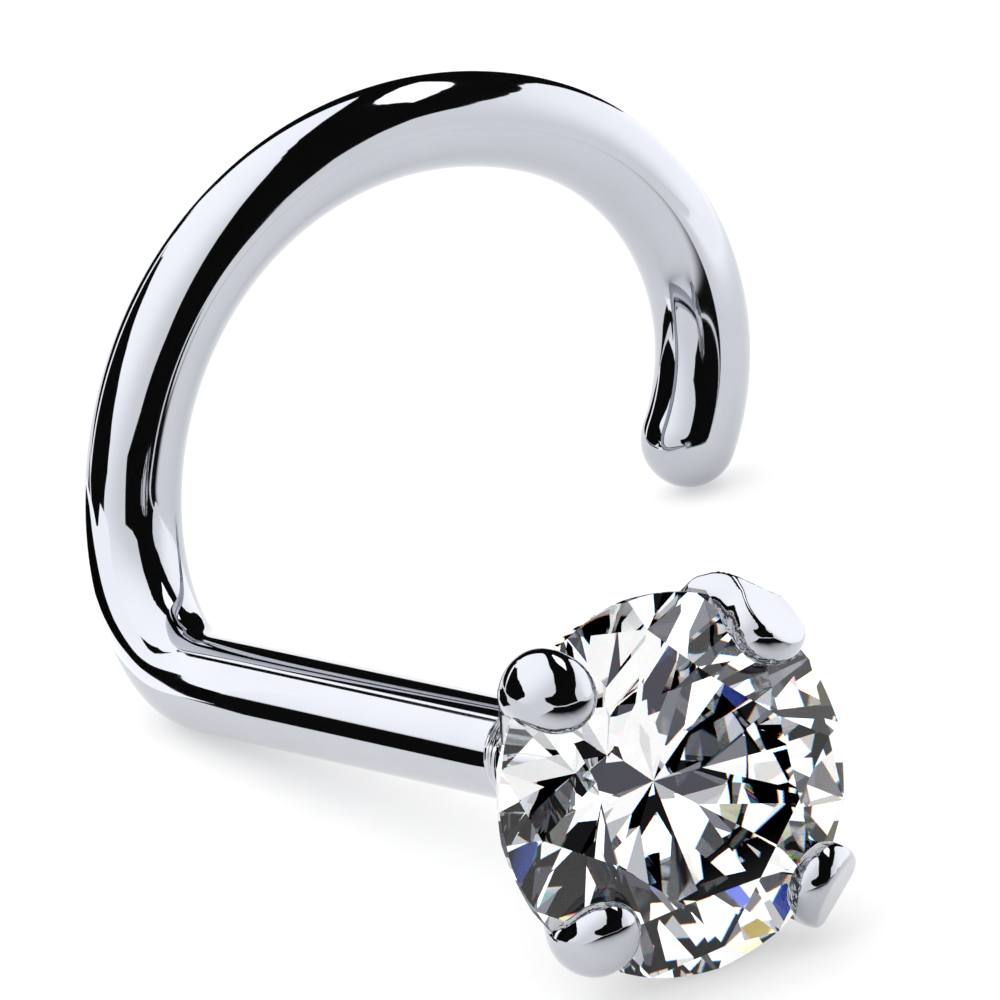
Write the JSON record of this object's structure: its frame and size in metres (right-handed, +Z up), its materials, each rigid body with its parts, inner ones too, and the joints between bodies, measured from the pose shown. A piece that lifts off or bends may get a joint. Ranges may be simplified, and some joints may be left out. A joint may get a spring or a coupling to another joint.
{
  "type": "nose stud",
  "caption": "Nose screw stud: a round-wire post with an open curl at one end and a claw-set round brilliant stone at the other.",
  "frame": {"origin": "on the surface that the stud lies on, under the middle of its box", "axes": "+Z up; the post runs along Y, nearly level, with the stone facing -Y and the curl standing at the +Y end, to the +X side of the post"},
  "size_m": [0.0076, 0.011, 0.0041],
  "materials": {
    "polished_steel": "mirror polish",
    "clear_stone": "polished facets"
  },
  "bodies": {
    "root": {"nose_screw": "polished_steel", "stone": "clear_stone"}
  },
  "joints": []
}
